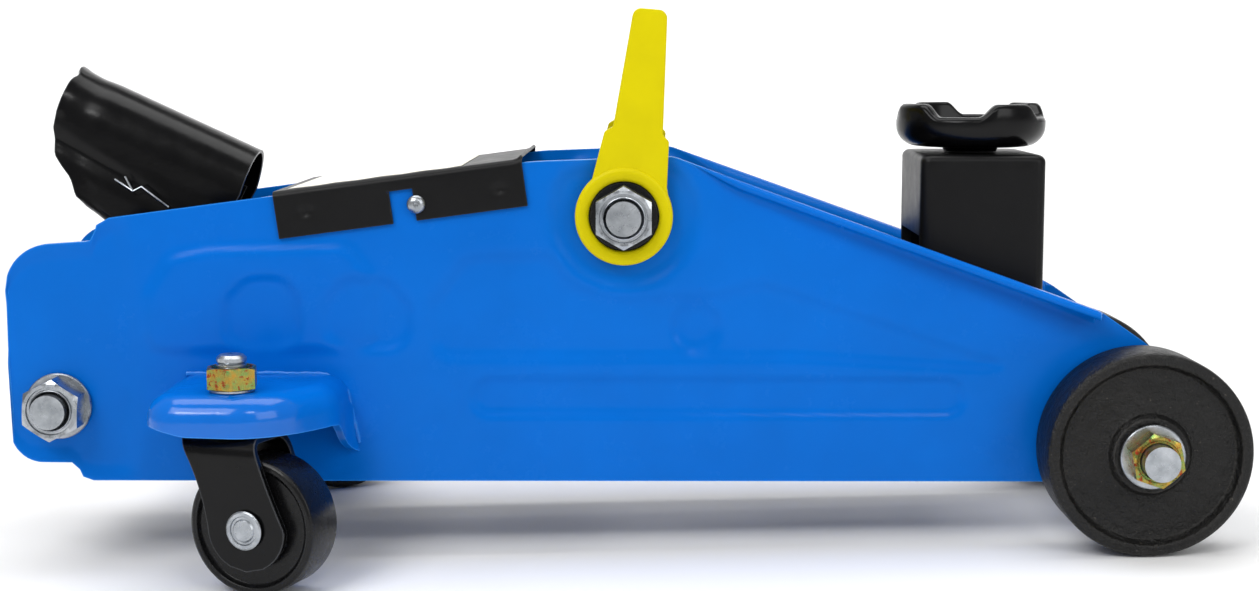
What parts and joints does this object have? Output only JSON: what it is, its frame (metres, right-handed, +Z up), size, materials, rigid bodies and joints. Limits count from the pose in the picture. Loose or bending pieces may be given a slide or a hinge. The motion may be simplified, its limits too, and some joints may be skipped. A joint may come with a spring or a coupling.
{
  "type": "hydraulic trolley jack",
  "caption": "Low hydraulic trolley jack: two pressed side plates, lift arm with toothed saddle, handle socket, carry handle, front wheels and rear casters.",
  "frame": {"origin": "on the floor, at the bottom centre of the box round the whole jack as it stands lowered", "axes": "+X forward towards the saddle and front wheels, +Y to the left, +Z up from the floor"},
  "size_m": [0.4292, 0.1962, 0.1905],
  "materials": {
    "blue_paint": "gloss powder coat",
    "black_paint": "gloss black enamel",
    "black_casting": "painted casting, worn tread",
    "bright_zinc": "bright zinc plate",
    "yellow_zinc": "yellow passivated zinc plate",
    "ground_steel": "ground and oiled",
    "yellow_plastic": "moulded polypropylene",
    "black_rubber": "moulded",
    "black_plastic": "moulded nylon"
  },
  "bodies": {
    "chassis": {"side_plate_right": "blue_paint", "side_plate_left": "blue_paint", "caster_bracket_right": "blue_paint", "caster_bracket_left": "blue_paint", "top_cover": "black_paint", "cover_screws": "bright_zinc", "front_axle": "bright_zinc", "front_axle_spacer": "bright_zinc", "front_wheel_washers": "yellow_zinc", "front_wheel_nuts": "yellow_zinc", "lift_pivot_shaft": "bright_zinc", "pivot_shoulder_washers": "bright_zinc", "lift_pivot_nuts": "bright_zinc", "rear_tie_bolt": "bright_zinc", "rear_tie_washers": "bright_zinc", "rear_tie_nuts": "bright_zinc", "radius_rod_pins": "blue_paint", "pump_base": "black_paint", "pump_cylinder": "ground_steel", "reservoir_tube": "black_paint", "ram_cylinder": "ground_steel", "gland_nut": "ground_steel", "filler_plug": "black_rubber", "socket_pivot_pin": "bright_zinc", "socket_pin_clips": "bright_zinc", "return_springs": "ground_steel", "caster_stem_right": "bright_zinc", "caster_stem_left": "bright_zinc", "caster_bearing_cup_right": "ground_steel", "caster_bearing_cup_left": "ground_steel", "caster_washer_right": "yellow_zinc", "caster_washer_left": "yellow_zinc", "caster_nut_right": "yellow_zinc", "caster_nut_left": "yellow_zinc"},
    "lift_arm": {"lift_arm": "black_paint", "ram_pin": "ground_steel", "ram_bush": "ground_steel"},
    "saddle_bracket": {"saddle_bracket": "black_paint", "saddle_pin": "bright_zinc", "radius_link_pin": "bright_zinc"},
    "saddle": {"saddle": "black_casting", "saddle_retaining_ring": "bright_zinc"},
    "radius_rods": {"radius_rods": "black_paint"},
    "ram": {"ram_piston": "ground_steel", "ram_rod": "ground_steel", "ram_head": "ground_steel"},
    "handle_socket": {"handle_socket": "black_paint", "pump_pin": "bright_zinc"},
    "pump_plunger": {"pump_plunger": "ground_steel"},
    "release_valve": {"release_valve_screw": "bright_zinc"},
    "carry_handle": {"carry_handle": "yellow_plastic"},
    "front_wheel_right": {"front_wheel_right": "black_casting"},
    "front_wheel_left": {"front_wheel_left": "black_casting"},
    "caster_fork_right": {"caster_fork_right": "black_paint", "caster_axle_right": "bright_zinc"},
    "caster_fork_left": {"caster_fork_left": "black_paint", "caster_axle_left": "bright_zinc"},
    "caster_wheel_right": {"caster_wheel_right": "black_plastic"},
    "caster_wheel_left": {"caster_wheel_left": "black_plastic"}
  },
  "joints": [
    {"name": "lift", "type": "hinge", "parent": "chassis", "child": "lift_arm", "pos_m": [0.00283, 0, 0.11914], "axis": [0, -1, 0], "range_deg": [0, 60], "deforming": ["return_springs"]},
    {"name": "saddle_level", "type": "hinge", "parent": "lift_arm", "child": "saddle_bracket", "pos_m": [0.1259, 0, 0.08444], "axis": [0, 1, 0], "range_deg": [-0.1, 60.1]},
    {"name": "saddle_swivel", "type": "hinge", "parent": "saddle_bracket", "child": "saddle", "pos_m": [0.12975, 0, 0.13816], "axis": [0.0251, 0, 0.9997], "continuous": true},
    {"name": "radius_rod_swing", "type": "hinge", "parent": "chassis", "child": "radius_rods", "pos_m": [0.01022, 0, 0.09495], "axis": [0, -1, 0], "range_deg": [-0.1, 60.1]},
    {"name": "ram_slide", "type": "slide", "parent": "chassis", "child": "ram", "axis": [0.9997, 0, -0.0251], "range_m": [-0.0001, 0.0481]},
    {"name": "socket_swing", "type": "hinge", "parent": "chassis", "child": "handle_socket", "pos_m": [-0.15944, 0, 0.11461], "axis": [0, 1, 0], "range_deg": [0, 45]},
    {"name": "plunger_slide", "type": "slide", "parent": "chassis", "child": "pump_plunger", "axis": [0.0251, 0, 0.9997], "range_m": [-0.0001, 0.01694]},
    {"name": "release_turn", "type": "hinge", "parent": "chassis", "child": "release_valve", "pos_m": [-0.20435, 0, 0.07873], "axis": [0.9997, 0, -0.0251], "range_deg": [0, 180]},
    {"name": "carry_handle_swing", "type": "hinge", "parent": "chassis", "child": "carry_handle", "pos_m": [0.00283, 0, 0.11914], "axis": [0, 1, 0], "range_deg": [-54, 8]},
    {"name": "front_wheel_right_spin", "type": "hinge", "parent": "chassis", "child": "front_wheel_right", "pos_m": [0.17957, -0.056, 0.03507], "axis": [0, 1, 0], "continuous": true},
    {"name": "front_wheel_left_spin", "type": "hinge", "parent": "chassis", "child": "front_wheel_left", "pos_m": [0.17957, 0.056, 0.03507], "axis": [0, 1, 0], "continuous": true},
    {"name": "caster_right_swivel", "type": "hinge", "parent": "chassis", "child": "caster_fork_right", "pos_m": [-0.12867, -0.0785, 0.05342], "axis": [0.0251, 0, 0.9997], "continuous": true},
    {"name": "caster_right_spin", "type": "hinge", "parent": "caster_fork_right", "child": "caster_wheel_right", "pos_m": [-0.11912, -0.08205, 0.02307], "axis": [0.3255, 0.9455, -0.0082], "continuous": true},
    {"name": "caster_left_swivel", "type": "hinge", "parent": "chassis", "child": "caster_fork_left", "pos_m": [-0.12867, 0.0785, 0.05342], "axis": [0.0251, 0, 0.9997], "continuous": true},
    {"name": "caster_left_spin", "type": "hinge", "parent": "caster_fork_left", "child": "caster_wheel_left", "pos_m": [-0.11912, 0.08205, 0.02307], "axis": [-0.3255, 0.9455, 0.0082], "continuous": true}
  ],
  "couplings": [
    {"joint": "saddle_level", "follows": "lift", "ratio": 1},
    {"joint": "radius_rod_swing", "follows": "lift", "ratio": 1},
    {"joint": "ram_slide", "follows": "lift", "m_per_rad": 0.045837},
    {"joint": "plunger_slide", "follows": "socket_swing", "m_per_rad": 0.021439}
  ]
}
